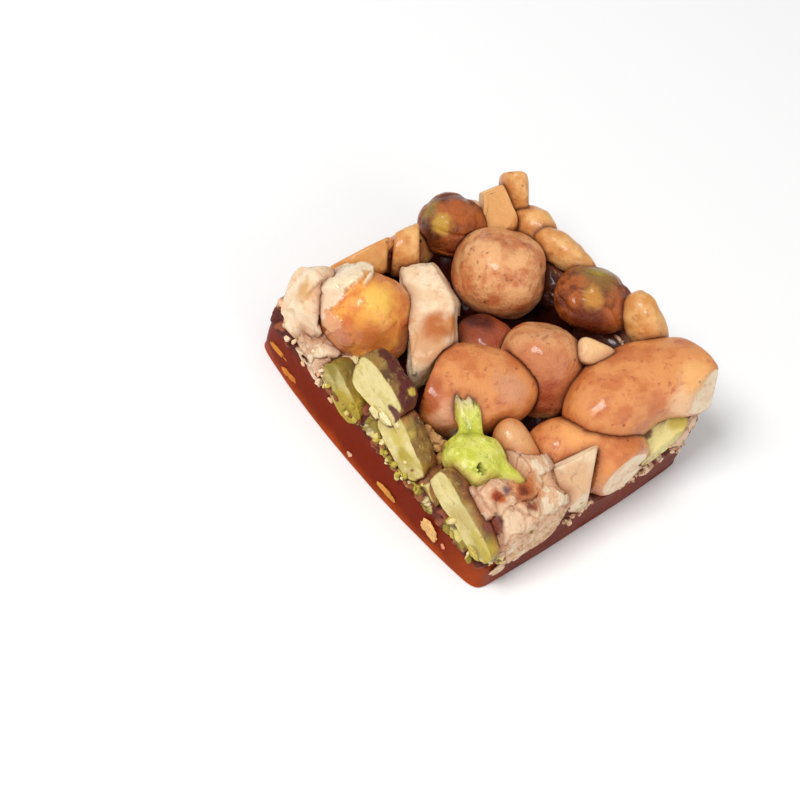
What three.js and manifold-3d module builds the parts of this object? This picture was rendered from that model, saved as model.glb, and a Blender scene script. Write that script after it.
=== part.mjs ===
// Nut cluster bar: a slab of dark fruit jelly with whole, split and broken nuts set into its top,
// trimmed by a knife on its four sides. Millimetres, +Z up, origin at the middle of the underside,
// +X along the long side. The corner at +X -Y is the front one.
import * as THREE from "three";
import { mergeVertices } from "three/addons/utils/BufferGeometryUtils.js";
import Module from "manifold-3d";

const wasm = await Module();
wasm.setup();

// Driving dimensions
const LENGTH = 53; // between the knife cuts along X
const WIDTH = 44; // between the knife cuts along Y
const JELLY_EDGE = 7.3; // jelly thickness at the cut sides
const JELLY_MIDDLE = 10.5; // jelly thickness under the nuts in the middle
const FOOT_LONG = 2; // how far the soft foot bows out in the middle of a long side
const FOOT_SHORT = 0.5; // the same on a short side
const FOOT_POWER = 5; // how closely that bow keeps to the side
const CORNER_POWER = 30; // superellipse power of the outline: higher is squarer
const WAVE = 0.35; // unevenness of the jelly's top
const WAVE_TURNS = [0.55, 0.7]; // radians per millimetre of that unevenness along X and Y
const SLOPE = 0.045; // how much higher the jelly's top stands towards -X, per millimetre
const PROUD = 0.5; // how far the cut nuts stand out past the jelly's sides
const GAP = 0.3; // clearance between a nut and what it touches
const KNIFE_HEIGHT = 60; // taller than any nut
const OUTLINE_STEPS = 32;
const NUT_DETAIL = 2; // icosahedron subdivision of a nut
const TAPER = 0.13; // how much a kernel narrows towards its +X end
const SQUARE = 2.5; // superellipse power of a hazelnut: 2 is round, higher is squarer
const BLOCK = 4; // the same of a blocky piece
const TIP = 0.1; // how far a hazelnut's point stands out, as a share of its half length
const TIP_POWER = 8; // how sharp that point is
const CASHEW_TAPER = 0.1; // how much fatter a cashew is at its +X end
const CHIP_FACETS = 11; // broken faces of a chip
const FACET_TURN = 2.39996; // turn from one facet to the next, the golden angle in radians
const FACET_DEPTH = [0.62, 0.92]; // nearest and farthest facet, as a share of the half size
const LOBES = [
  { way: [-0.75, 0.5, 0.45], reach: 1.5 },
  { way: [0.87, 0.48, 0.19], reach: 0.6 },
]; // of the torn kernel: the way each lobe points, and how far it stands out
const LOBE_FOCUS = 30; // how narrow these lobes are
const LOBE_TOP = 2.05; // where a lobe is blunt

const SKINS = {
  hazelnut: { color: "#d6a06a", roughness: 0.55 },
  cashew: { color: "#dfa066", roughness: 0.45 },
  peanut: { color: "#e2ae72", roughness: 0.6 },
  dark: { color: "#74401c", roughness: 0.3 },
  green: { color: "#cfc878", roughness: 0.65 },
  lime: { color: "#c4d450", roughness: 0.6 },
  golden: { color: "#dd9440", roughness: 0.25 },
  cream: { color: "#e6c8a0", roughness: 0.7 },
};

// Every nut: its kind and skin, the middle of its body, its size along its own axes, and its turn
// in degrees: yaw about Z, then pitch (nose up), then roll about its own length.
// An earlier nut keeps its form where a later one would touch it.
const NUTS = [
  nut("hazelnut_1", hazelnut, "hazelnut", [-10.5, 10.7, 14.6], [15.2, 14.2, 13.8], [-40, 50, 0]),
  nut("cashew_1", cashew, "cashew", [5.3, -9.3, 12.8], [16.4, 15.5, 11], [-123, -7, 162], 116),
  nut("hazelnut_2", hazelnut, "hazelnut", [6.6, 4.4, 13.5], [14.6, 12.4, 12], [-41, -50, 0]),
  nut("hazelnut_3", hazelnut, "golden", [-14.8, -13.4, 14.8], [15, 14.2, 13.2], [-60, 70, 0]),
  nut("pistachio_1", pistachio, "dark", [-22.2, 11.2, 13.6], [11.5, 10.4, 9.8], [60, 0, 0]),
  nut("pistachio_2", pistachio, "dark", [2.9, 18.4, 17.4], [13.4, 10.6, 9.4], [31, 0, 0]),
  nut("flake_4", block, "cream", [24.6, -4.8, 12.8], [14, 12, 4], [136, 62, 14]),
  nut("pistachio_3", pistachio, "green", [25.6, 12.8, 12.8], [11, 6, 6], [97, 26, 51]),
  nut("cashew_2", cashew, "cashew", [21.6, 1.2, 11.2], [18.6, 11.4, 12], [54, 0, 0], 40),
  nut("cashew_3", cashew, "cashew", [21.6, 13.4, 17], [22.5, 13.2, 12.4], [-106, -14, 180], 130),
  nut("pistachio_4", block, "green", [-1.9, -20.9, 17], [10.6, 5.8, 8.6], [0, -8, 0]),
  nut("pistachio_5", block, "green", [-8.2, -21.4, 9], [10, 5, 6], [0, -31, 0]),
  nut("pistachio_6", block, "green", [5.4, -21.4, 12.2], [10.6, 5.4, 7], [0, -28, 0]),
  nut("pistachio_7", block, "green", [19.4, -21.6, 11.6], [15, 4.2, 5.6], [0, -20, 0]),
  nut("pistachio_8", torn, "lime", [13.8, -16.1, 14], [10.5, 8.8, 8.4], [0, 0, 0]),
  nut("cashew_4", cashew, "cashew", [15.2, -8.9, 14], [9, 6, 6.5], [-5, -23, 21], 30),
  nut("flake_1", chip, "cream", [-20.4, -16.9, 12.8], [14, 12, 14], [30, 10, 0], 5),
  nut("flake_2", block, "cream", [-9.5, -4.9, 15], [24, 11, 11], [-46, -4, 18]),
  nut("flake_3", block, "cream", [21.8, -13.4, 9.4], [15.5, 15, 12.6], [0, -12, 0]),
  nut("flake_5", chip, "cream", [-15.4, -19.6, 9.8], [16, 8.4, 8.6], [0, -16, 0], 4),
  nut("flake_6", chip, "cream", [24, 18, 10.4], [9.6, 8.6, 12], [0, 0, 0], 3),
  nut("peanut_2", pistachio, "peanut", [-18.9, 21.5, 17.2], [14, 6, 7], [21, -66, 26]),
  nut("peanut_1", pistachio, "peanut", [-19.5, 17.8, 17], [12, 9, 9], [42, -53, 78]),
  nut("peanut_3", pistachio, "peanut", [-13.4, 20.6, 16.4], [9, 6, 7], [5, 0, 21]),
  nut("peanut_4", pistachio, "peanut", [-6.2, 20.2, 18], [11.5, 4.6, 5.4], [13, 0, 14]),
  nut("peanut_5", pistachio, "peanut", [11.2, 20.8, 19.4], [11.5, 6, 6.6], [-3, -37, 12]),
  nut("peanut_6", pistachio, "peanut", [-23.9, -6.7, 15.8], [15, 8, 8], [-109, -25, 0]),
  nut("peanut_7", pistachio, "peanut", [-21.7, 0.3, 15.2], [11, 8, 9], [71, 25, 0]),
  nut("hazelnut_4", hazelnut, "hazelnut", [-3.1, 2.2, 9.8], [10, 9, 9], [0, 30, 0]),
  nut("chip_1", block, "cream", [11.1, 9.8, 19.2], [6, 3.6, 2.6], [34, 0, 27]),
  nut("chip_2", chip, "green", [12, -20.4, 9.6], [7.5, 6, 6], [0, -20, 0], 7),
  // Behind and below the rest, showing only at the back
  nut("hazelnut_5", hazelnut, "hazelnut", [-22.6, -9, 8.6], [11, 10, 8], [90, 0, 0]),
  nut("peanut_8", pistachio, "peanut", [-23.6, 3.4, 9.2], [13, 8, 8], [90, 0, 0]),
  nut("cashew_5", cashew, "cashew", [-18, 19, 9.2], [15, 8, 7.6], [8, 0, 0], 60),
  nut("pistachio_9", pistachio, "dark", [-5.4, 19.4, 11], [13, 9, 9.5], [0, 0, 0]),
  nut("hazelnut_6", hazelnut, "hazelnut", [7.4, 20.2, 10], [13, 9, 10.6], [0, 0, 0]),
  nut("cashew_6", cashew, "cashew", [16.6, 20, 8.6], [13, 8, 7.6], [-6, 0, 0], 50),
];

function nut(name, kind, skin, at, size, turn, form = 0) {
  return { name, kind, skin, at, size, turn, form };
}

// Flat broken places of some nuts: the way each one faces, and how far from the nut's middle it lies.
const BREAKS = {
  cashew_3: [
    [[0.97, 0.05, 0.24], 4.9],
  ],
  cashew_1: [
    [[0.78, -0.61, -0.16], 4.9],
    [[-0.85, -0.5, -0.15], 6.2],
  ],
  flake_2: [
    [[0.17, 0.81, 0.56], 5.1],
    [[0.66, 0.7, 0.29], 4.3],
    [[0.98, 0.2, -0.04], 6.6],
    [[-0.55, -0.82, -0.16], 4.4],
    [[-0.73, 0.3, 0.62], 8.4],
  ],
  flake_4: [
    [[-0.87, 0.01, 0.5], 4.3],
    [[0.78, 0.6, 0.18], 2.7],
    [[0.75, -0.5, -0.44], 3.7],
    [[-0.39, -0.84, -0.37], 2.4],
  ],
  peanut_1: [
    [[-0.59, -0.8, -0.13], 3.1],
    [[-0.85, 0.06, 0.52], 3.4],
    [[0.27, 0.86, 0.43], 1.9],
    [[0.15, -0.87, 0.48], 2.2],
  ],
  peanut_2: [
    [[0.66, 0.7, 0.29], 1.7],
    [[-0.74, 0.39, 0.55], 4.3],
    [[-0.06, 0.83, 0.55], 3.6],
  ],
  peanut_6: [
    [[-0.91, 0.04, 0.41], 0.7],
    [[0.7, 0.7, 0.14], 3.8],
  ],
  peanut_7: [
    [[-0.69, -0.7, -0.15], 2.1],
    [[-0.91, 0.05, 0.41], 2.9],
    [[0.63, 0.75, 0.21], 2.2],
  ],
  pistachio_3: [
    [[0.7, -0.3, 0.65], 1],
  ],
};

// A number from 0 to 1 that depends only on n.
function draw(n) {
  const s = Math.sin(n * 12.9898) * 43758.5453;
  return s - Math.floor(s);
}

// The shapes: each takes a direction on the unit sphere to a point of the nut, of half sizes h.

// How far a superellipse of half size 1 and that power reaches.
function squared(d, power) {
  return (Math.abs(d.x) ** power + Math.abs(d.y) ** power + Math.abs(d.z) ** power) ** (-1 / power);
}

// Broad at its base, pointed at +X and a little square all round.
function hazelnut(d, h) {
  const reach = squared(d, SQUARE);
  const taper = reach * (1 - TAPER * d.x);
  const tip = reach * (1 + TIP * Math.max(0, d.x) ** TIP_POWER);
  return new THREE.Vector3(h.x * d.x * tip, h.y * d.y * taper, h.z * d.z * taper);
}

// A long kernel, thinner at +X.
function pistachio(d, h) {
  const taper = 1 - TAPER * d.x;
  return new THREE.Vector3(h.x * d.x, h.y * d.y * taper, h.z * d.z * taper);
}

// A blunt bean bent round an arc of so many degrees, its hollow side at -Y.
function cashew(d, h, bend) {
  const half = THREE.MathUtils.degToRad(bend) / 2;
  const radius = h.x / Math.sin(half);
  const blunt = Math.sqrt(1 + d.x ** 2) * (1 + CASHEW_TAPER * d.x);
  const out = radius + h.y * d.y * blunt;
  const middle = (radius * (1 + Math.cos(half))) / 2;
  const angle = half * d.x;
  return new THREE.Vector3(out * Math.sin(angle), out * Math.cos(angle) - middle, h.z * d.z * blunt);
}

// A blocky piece, thinner at +X.
function block(d, h) {
  const reach = squared(d, BLOCK);
  const taper = reach * (1 - TAPER * d.x);
  return new THREE.Vector3(h.x * d.x * reach, h.y * d.y * taper, h.z * d.z * taper);
}

// A broken lump: an ellipsoid trimmed by facets that spiral round it, set by the seed.
function chip(d, h, seed) {
  const [near, far] = FACET_DEPTH;
  let reach = 1;
  for (let k = 0; k < CHIP_FACETS; k++) {
    const z = 1 - (2 * (k + 0.5)) / CHIP_FACETS;
    const angle = FACET_TURN * k + seed;
    const r = Math.sqrt(1 - z * z);
    const facing = d.x * r * Math.cos(angle) + d.y * r * Math.sin(angle) + d.z * z;
    const depth = near + (far - near) * draw(seed * 31 + k);
    if (facing > 0) reach = Math.min(reach, depth / facing);
  }
  return new THREE.Vector3(h.x * d.x * reach, h.y * d.y * reach, h.z * d.z * reach);
}

// A bruised lump with a lobe pulled up and back, and another out to the side.
function torn(d, h) {
  let reach = 1;
  for (const lobe of LOBES) {
    const facing = new THREE.Vector3(...lobe.way).normalize().dot(d);
    reach += lobe.reach * Math.exp(LOBE_FOCUS * (facing - 1));
  }
  reach = Math.min(reach, LOBE_TOP);
  return new THREE.Vector3(h.x * d.x * reach, h.y * d.y * reach, h.z * d.z * reach);
}

// Solids

function solidOf(geometry) {
  geometry.deleteAttribute("normal");
  geometry.deleteAttribute("uv");
  const merged = mergeVertices(geometry);
  return new wasm.Manifold(
    new wasm.Mesh({
      numProp: 3,
      vertProperties: merged.getAttribute("position").array,
      triVerts: new Uint32Array(merged.index.array),
    }),
  );
}

// A nut in its place, grown on all sides by so many millimetres.
function nutSolid({ name, kind, at, size, turn, form }, grow = 0) {
  const geometry = new THREE.IcosahedronGeometry(1, NUT_DETAIL);
  const half = new THREE.Vector3(...size).multiplyScalar(0.5).addScalar(grow);
  const [yaw, pitch, roll] = turn.map(THREE.MathUtils.degToRad);
  const place = new THREE.Matrix4().makeRotationFromEuler(new THREE.Euler(roll, -pitch, yaw, "ZYX"));
  place.setPosition(...at);
  const position = geometry.getAttribute("position");
  const direction = new THREE.Vector3();
  for (let i = 0; i < position.count; i++) {
    direction.fromBufferAttribute(position, i).normalize();
    position.setXYZ(i, ...kind(direction, half, form).applyMatrix4(place));
  }
  let solid = solidOf(geometry);
  for (const [facing, away] of BREAKS[name] ?? []) {
    const normal = new THREE.Vector3(...facing).normalize();
    const reach = normal.dot(new THREE.Vector3(...at)) + away + grow;
    solid = solid.trimByPlane(normal.negate().toArray(), -reach);
  }
  return solid;
}

// The jelly: a turned profile whose round section is squared off to the bar's outline. A row of
// the profile is its reach, its height and its share of the foot's bow.
function jellySolid() {
  const profile = [
    [0, 0, 0],
    [0.985, 0, 0.85],
    [1, 0.7, 1],
    [1, 4.6, 0.3],
    [0.998, JELLY_EDGE - 0.6, 0.05],
    [0.98, JELLY_EDGE, 0],
    [0.7, JELLY_MIDDLE - 1.2, 0],
    [0, JELLY_MIDDLE, 0],
  ];
  const points = profile.map(([reach, height]) => new THREE.Vector2(reach, height));
  const geometry = new THREE.LatheGeometry(points, OUTLINE_STEPS);
  const position = geometry.getAttribute("position");
  for (let i = 0; i < position.count; i++) {
    const [reach, height, bow] = profile[i % profile.length];
    const angle = Math.atan2(position.getX(i), position.getZ(i));
    const sides = Math.abs(Math.cos(angle)) ** CORNER_POWER + Math.abs(Math.sin(angle)) ** CORNER_POWER;
    const across = reach * sides ** (-1 / CORNER_POWER);
    const u = across * Math.cos(angle);
    const v = across * Math.sin(angle);
    const x = u * (LENGTH / 2) + bow * FOOT_SHORT * u ** FOOT_POWER * (1 - v * v);
    const y = v * (WIDTH / 2) + bow * FOOT_LONG * v ** FOOT_POWER * (1 - u * u);
    const uneven = WAVE * Math.sin(x * WAVE_TURNS[0]) * Math.cos(y * WAVE_TURNS[1]) - SLOPE * x;
    const onTop = height > JELLY_EDGE - 1;
    position.setXYZ(i, x, y, onTop ? height + uneven : height);
  }
  return solidOf(geometry);
}

function largest(solid) {
  return solid.decompose().sort((a, b) => b.volume() - a.volume())[0];
}

function meshOf(name, solid, look) {
  const { vertProperties, triVerts } = solid.getMesh();
  const geometry = new THREE.BufferGeometry();
  geometry.setAttribute("position", new THREE.BufferAttribute(vertProperties, 3));
  geometry.setIndex(new THREE.BufferAttribute(triVerts, 1));
  geometry.computeVertexNormals();
  const mesh = new THREE.Mesh(geometry, new THREE.MeshStandardMaterial({ metalness: 0, ...look }));
  mesh.name = name;
  return mesh;
}

// The bar

const bar = new THREE.Group();
const knife = solidOf(new THREE.BoxGeometry(LENGTH + 2 * PROUD, WIDTH + 2 * PROUD, KNIFE_HEIGHT));
let jelly = jellySolid();
const grown = [];
for (const item of NUTS) {
  let solid = nutSolid(item).intersect(knife);
  for (const neighbour of grown) solid = solid.subtract(neighbour);
  solid = largest(solid);
  grown.push(nutSolid(item, GAP));
  bar.add(meshOf(item.name, solid, SKINS[item.skin]));
}
for (const neighbour of grown) jelly = jelly.subtract(neighbour);
bar.add(meshOf("jelly", largest(jelly), { color: "#7a2a16", roughness: 0.25 }));

export default bar;
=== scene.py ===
"""Looks of the nut cluster bar: jelly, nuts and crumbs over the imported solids, with floor, light and camera.

Shapes are worked out in millimetres in the part's own frame and become metres as meshes.
"""
import math
from collections import namedtuple
from functools import lru_cache

import bmesh
import bpy
import numpy as np
from mathutils import Euler, Matrix, Vector
from mathutils.bvhtree import BVHTree
from numpy.linalg import norm


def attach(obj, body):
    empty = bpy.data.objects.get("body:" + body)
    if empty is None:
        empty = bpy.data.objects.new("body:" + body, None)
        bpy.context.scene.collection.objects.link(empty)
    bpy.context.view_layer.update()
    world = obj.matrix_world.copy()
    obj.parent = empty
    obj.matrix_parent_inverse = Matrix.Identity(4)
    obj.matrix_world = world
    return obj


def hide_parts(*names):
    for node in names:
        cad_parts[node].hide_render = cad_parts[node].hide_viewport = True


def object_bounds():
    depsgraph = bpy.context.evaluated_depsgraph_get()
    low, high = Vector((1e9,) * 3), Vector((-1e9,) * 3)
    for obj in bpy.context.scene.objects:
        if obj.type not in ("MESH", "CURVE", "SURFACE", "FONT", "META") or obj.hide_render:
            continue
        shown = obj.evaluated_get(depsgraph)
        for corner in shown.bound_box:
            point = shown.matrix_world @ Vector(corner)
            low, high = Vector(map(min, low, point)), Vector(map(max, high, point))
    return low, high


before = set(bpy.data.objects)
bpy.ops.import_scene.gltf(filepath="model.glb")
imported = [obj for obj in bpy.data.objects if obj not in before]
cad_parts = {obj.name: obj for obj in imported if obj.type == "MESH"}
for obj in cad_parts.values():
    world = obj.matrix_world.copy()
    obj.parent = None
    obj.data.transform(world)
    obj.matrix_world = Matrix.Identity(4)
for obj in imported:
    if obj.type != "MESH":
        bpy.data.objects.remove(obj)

CAD_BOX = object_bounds()
MM = 0.001
BOX_MM = np.array(CAD_BOX) / MM
X, Y, Z = np.eye(3)
scene = bpy.context.scene

# Driving sizes in millimetres, as in the part

LENGTH = 53
WIDTH = 44
JELLY_EDGE = 7.3
JELLY_MIDDLE = 10.5
FOOT_LONG = 2
FOOT_SHORT = 0.5
FOOT_POWER = 5
CORNER_POWER = 30
WAVE = 0.35
WAVE_TURNS = (0.55, 0.7)
SLOPE = 0.045
PROUD = 0.5
TAPER = 0.13
SQUARE = 2.5
BLOCK = 4
TIP = 0.1
TIP_POWER = 8
CASHEW_TAPER = 0.1
CHIP_FACETS = 11
FACET_TURN = 2.39996
FACET_DEPTH = (0.62, 0.92)
LOBES = [((-0.75, 0.5, 0.45), 1.5), ((0.87, 0.48, 0.19), 0.6)]
LOBE_FOCUS = 30
LOBE_TOP = 2.05

# Sizes of the looks alone

FLAP_WIDE = (0.64, 0.73, 0.25)  # the way that the first lobe is wide
FLAP_FLAT = 24  # how much thinner than wide it is
FLAP_BROAD = 0.75
FLAP_STEEP = 1.6
TEAR_DEPTH = 0.25  # of its ragged top
TEAR_SIZE = 0.12
GAP = 0.05  # between a nut and one that it touches
ROOM = 1.2  # that the place a nut is cut back towards needs around it
LEAST_ROOM = 0.3  # between that place and a plane that cuts the nut
LEAST_REACH = 0.2  # between that place and the nut's surface
SEAM = 2.4  # how near to another nut syrup and painted shade darken a skin
GLAZE_AND_SHADE_HEIGHTS = (0.2, 2.4)  # heights over the jelly between which the glaze and painted shade on a nut end
WIPED = (0.3, 2)  # distances from a cut side between which that glaze and painted shade begin
LARGE = 7  # size over which a nut is made fine
FINE = 6  # icosphere subdivisions of a large nut
COARSE = 5  # of a small one
CRUMB = 2  # of a crumb
BIT_CRUMBS = 14  # in a bit of nut
CRUST_STEP = 0.2  # fineness of the crust on the cut sides
CRUST_ROWS = 36
CRUST_REACH = 9  # highest hollow that the crust fills
CRUST_BARE = 0.9  # height of the crust where no nut is over it
CRUST_GAP = 0.3  # from the crust to a nut
CRUST_FOOT = 0.9  # how far it starts below the jelly's edge
CRUST_EVEN = 8  # steps each way over which its height is evened out
EDGE_HEAPS = 12  # of crumbs along each side
LOOSE_CRUMBS = 130
LOOSE_HEIGHTS = (4, 13)  # between which a loose crumb may cling
JELLY_STEPS = 480
JELLY_TOP_RINGS = 36


def rgb(red, green, blue):
    """A linear colour from screen values of 0 to 255."""
    def line(c):
        c = c / 255
        return c / 12.92 if c <= 0.04045 else ((c + 0.055) / 1.055) ** 2.4
    return line(red), line(green), line(blue), 1.0


# Noise

def lattice(cell, seed):
    """A number from 0 to 1 for each whole-number cell."""
    whole = np.uint32
    n = cell.astype(np.int64).astype(whole)
    h = n[:, 0] * whole(374761393) + n[:, 1] * whole(668265263) + n[:, 2] * whole(2246822519)
    h = h + whole((seed * 1274126177 + 101) % 2**32)
    h = (h ^ (h >> whole(13))) * whole(1274126177)
    h = (h ^ (h >> whole(16))) * whole(2654435761)
    return ((h >> whole(8)) & whole(0xFFFF)) / 65535


def noise(points, size, seed):
    """Smooth noise from -1 to 1 with features of about that size."""
    q = points / size
    base = np.floor(q)
    f = q - base
    f = f * f * (3 - 2 * f)
    total = np.zeros(len(points))
    for corner in np.ndindex(2, 2, 2):
        side = np.array(corner)
        weight = np.prod(np.where(side, f, 1 - f), axis=1)
        total += weight * lattice(base + side, seed)
    return 2 * total - 1


def layered(points, size, seed, layers=3):
    """Noise with finer and weaker layers added, from about -1 to 1."""
    return sum(noise(points, size / 2**k, seed + 17 * k) / 2**k for k in range(layers)) / 1.5


def creases(points, size, seed):
    """1 along a net of thin lines and 0 away from them."""
    return 1 - smooth(0, 0.3, np.abs(layered(points, size, seed, 2)))


def chunks(points, size, seed):
    """Broken blocks: a number from 0 to 1 for each point's block, and its distance from a crack."""
    q = points / size
    base = np.floor(q)
    first = second = np.full(len(q), 9.0)
    number = np.zeros(len(q))
    for step in np.ndindex(3, 3, 3):
        cell = base + np.array(step) - 1
        spot = cell + np.stack([lattice(cell, seed + k) for k in range(3)], axis=1)
        away = norm(q - spot, axis=1)
        closer = away < first
        second = np.where(closer, first, np.minimum(second, away))
        number = np.where(closer, lattice(cell, seed + 7), number)
        first = np.minimum(first, away)
    return number, (second - first) * size


def smooth(low, high, value):
    """0 below low, 1 above high, and eased between."""
    t = np.clip((value - low) / (high - low), 0, 1)
    return t * t * (3 - 2 * t)


def draw(n):
    """A number from 0 to 1 that depends only on n, as in the part."""
    s = math.sin(n * 12.9898) * 43758.5453
    return s - math.floor(s)


# Meshes from arrays

@lru_cache
def ball(level):
    """Directions and triangles of an icosphere."""
    bm = bmesh.new()
    bmesh.ops.create_icosphere(bm, subdivisions=level, radius=1)
    points = np.array([v.co[:] for v in bm.verts])
    faces = np.array([[v.index for v in f.verts] for f in bm.faces])
    bm.free()
    return points, faces


def vertex_normals(points, faces):
    a, b, c = (points[faces[:, k]] for k in range(3))
    flat = np.cross(b - a, c - a)
    total = np.zeros_like(points)
    for k in range(3):
        for axis in range(3):
            total[:, axis] += np.bincount(faces[:, k], flat[:, axis], len(points))
    return total / np.maximum(norm(total, axis=1, keepdims=True), 1e-9)


def joined(parts):
    """One set of points and triangles from several."""
    starts = np.cumsum([0] + [len(points) for points, _ in parts])
    return np.vstack([p for p, _ in parts]), np.vstack([f + n for (_, f), n in zip(parts, starts)])


def triangles(a, b, c):
    """Triangles from rows of the numbers of their corners."""
    return np.stack(np.broadcast_arrays(a, b, c), axis=1)


def tree(points, faces):
    return BVHTree.FromPolygons(points.tolist(), faces.tolist())


def placed(name, data):
    """A new object in the scene."""
    obj = bpy.data.objects.new(name, data)
    scene.collection.objects.link(obj)
    return obj


def piece(name, points, faces, material, slot, node=None, **values):
    """A smooth mesh in metres that rides on the part, with its values kept at its points."""
    mesh = bpy.data.meshes.new(name)
    mesh.from_pydata(points * MM, [], faces.tolist())
    mesh.shade_smooth()
    for key, value in values.items():
        wide = value.ndim == 2
        layer = mesh.attributes.new(key, "FLOAT_VECTOR" if wide else "FLOAT", "POINT")
        layer.data.foreach_set("vector" if wide else "value", value.astype(np.float32).ravel())
    mesh.materials.append(material)
    obj = placed(name, mesh)
    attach(obj, "root")
    if node:
        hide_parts(node)
    return obj


# Shapes of the nuts: each takes directions on the unit sphere to points of a nut of half sizes h

def squared(d, power):
    """How far a superellipse of half size 1 and that power reaches."""
    return (np.abs(d) ** power).sum(axis=1) ** (-1 / power)


def tapered(d, h, reach, tip=1):
    """Points at that reach, thinner towards +X and drawn out along it by the tip."""
    thin = reach * (1 - TAPER * d[:, 0])
    return d * h * np.stack([reach * tip, thin, thin], axis=1)


def hazelnut(d, h, form):
    return tapered(d, h, squared(d, SQUARE), 1 + TIP * np.maximum(0, d[:, 0]) ** TIP_POWER)


def pistachio(d, h, form):
    return tapered(d, h, np.ones(len(d)))


def block(d, h, form):
    return tapered(d, h, squared(d, BLOCK))


def cashew(d, h, form):
    half = math.radians(form) / 2
    radius = h[0] / math.sin(half)
    blunt = np.sqrt(1 + d[:, 0] ** 2) * (1 + CASHEW_TAPER * d[:, 0])
    out = radius + h[1] * d[:, 1] * blunt
    middle = radius * (1 + math.cos(half)) / 2
    angle = half * d[:, 0]
    return np.stack([out * np.sin(angle), out * np.cos(angle) - middle, h[2] * d[:, 2] * blunt], axis=1)


def chip(d, h, form):
    near, far = FACET_DEPTH
    reach = np.ones(len(d))
    for k in range(CHIP_FACETS):
        z = 1 - 2 * (k + 0.5) / CHIP_FACETS
        angle = FACET_TURN * k + form
        r = math.sqrt(1 - z * z)
        facing = d @ np.array([r * math.cos(angle), r * math.sin(angle), z])
        depth = near + (far - near) * draw(form * 31 + k)
        reach = np.minimum(reach, depth / np.maximum(facing, 1e-6))
    return d * h * reach[:, None]


def torn(d, h, form):
    reach = np.ones(len(d))
    for number, (way, out) in enumerate(LOBES):
        way = Vector(way).normalized()
        away = LOBE_FOCUS * (1 - d @ np.array(way))
        if number == 0:
            thin = np.array(way.cross(Vector(FLAP_WIDE)).normalized())
            away = (FLAP_BROAD * away + FLAP_FLAT * (d @ thin) ** 2) ** FLAP_STEEP
        reach += out * np.exp(-away)
    ragged = LOBE_TOP + TEAR_DEPTH * noise(d, TEAR_SIZE, 2)
    return d * h * np.minimum(reach, ragged)[:, None]


# Surface relief of each skin, in millimetres along the normal

def lumpy(p, seed):
    streaks = noise(p * (0.35, 1, 1), 1.5, seed + 5)
    return 0.55 * layered(p, 6.5, seed) + 0.12 * layered(p, 2.2, seed + 3) + 0.05 * streaks


def sleek(p, seed):
    return 0.5 * layered(p, 8, seed) + 0.1 * layered(p * (0.6, 1, 1), 2, seed + 3)


def knobbly(p, seed):
    return 0.6 * layered(p, 4.5, seed) + 0.1 * layered(p, 1.6, seed + 3)


def wrinkled(p, seed):
    return 0.4 * layered(p, 5, seed) - 0.3 * creases(p * (0.4, 1, 1), 2.4, seed + 5)


def warped(p, size, seed):
    return p + 0.5 * size * np.stack([noise(p, size, seed + k) for k in range(3)], axis=1)


def lumps(p, seed):
    """The large and small lumps of a crumbled piece, each with its distance from a crack."""
    large = chunks(warped(p * (1, 1, 0.6), 2, seed), 3.8, seed)
    small = chunks(warped(p, 0.8, seed), 1.3, seed + 11)
    return large, small


def crumbly(p, seed):
    (large, crack), (small, _) = lumps(p, seed)
    groove = 0.3 * (1 - smooth(0, 0.35, crack))
    return 1.1 * (large - 0.5) + 0.3 * (small - 0.5) - groove + 0.14 * layered(p, 0.9, seed + 9)


def plated(p, seed):
    plate, _ = chunks(warped(p, 2, seed), 5.5, seed)
    return 0.7 * (plate - 0.5) + 0.35 * layered(p, 5, seed + 1) + 0.06 * layered(p, 1.2, seed + 3)


def bruised(p, seed):
    return 0.7 * layered(p, 4, seed) - 0.15 * creases(p, 3, seed + 5) + 0.08 * layered(p, 1, seed + 9)


def chopped(p, seed):
    chunk, _ = chunks(warped(p, 1, seed), 2.4, seed)
    return 0.25 * (chunk - 0.5) + 0.5 * layered(p, 4, seed) + 0.1 * layered(p, 1, seed + 3)


# Surface of each skin: its relief and, where it is cut or breaks, roundness of the edge as a share of the
# reach, depth and size of the roughness, and whether it is cracked into blocks
Surface = namedtuple("Surface", "relief rim depth size cracked", defaults=(0.08, 0.2, 1.6, True))
SURFACES = {
    "hazelnut": Surface(lumpy),
    "golden": Surface(lumpy),
    "cashew": Surface(sleek, 0.12),
    "peanut": Surface(knobbly, 0.3, 0.4, 5, False),
    "dark": Surface(wrinkled),
    "green": Surface(chopped, 0.08, 0.3, 4, False),
    "lime": Surface(bruised),
    "shell": Surface(plated, 0.22, 0.9, 4, False),
    "cream": Surface(crumbly, 0.3, 0.6, 2.6),
}

# The nuts, as in the part: kind, skin, middle, size, turn as yaw, pitch and roll, and form.
# An earlier nut keeps its form where a later one would touch it.
Nut = namedtuple("Nut", "name kind skin at size turn form", defaults=(0,))

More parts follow.
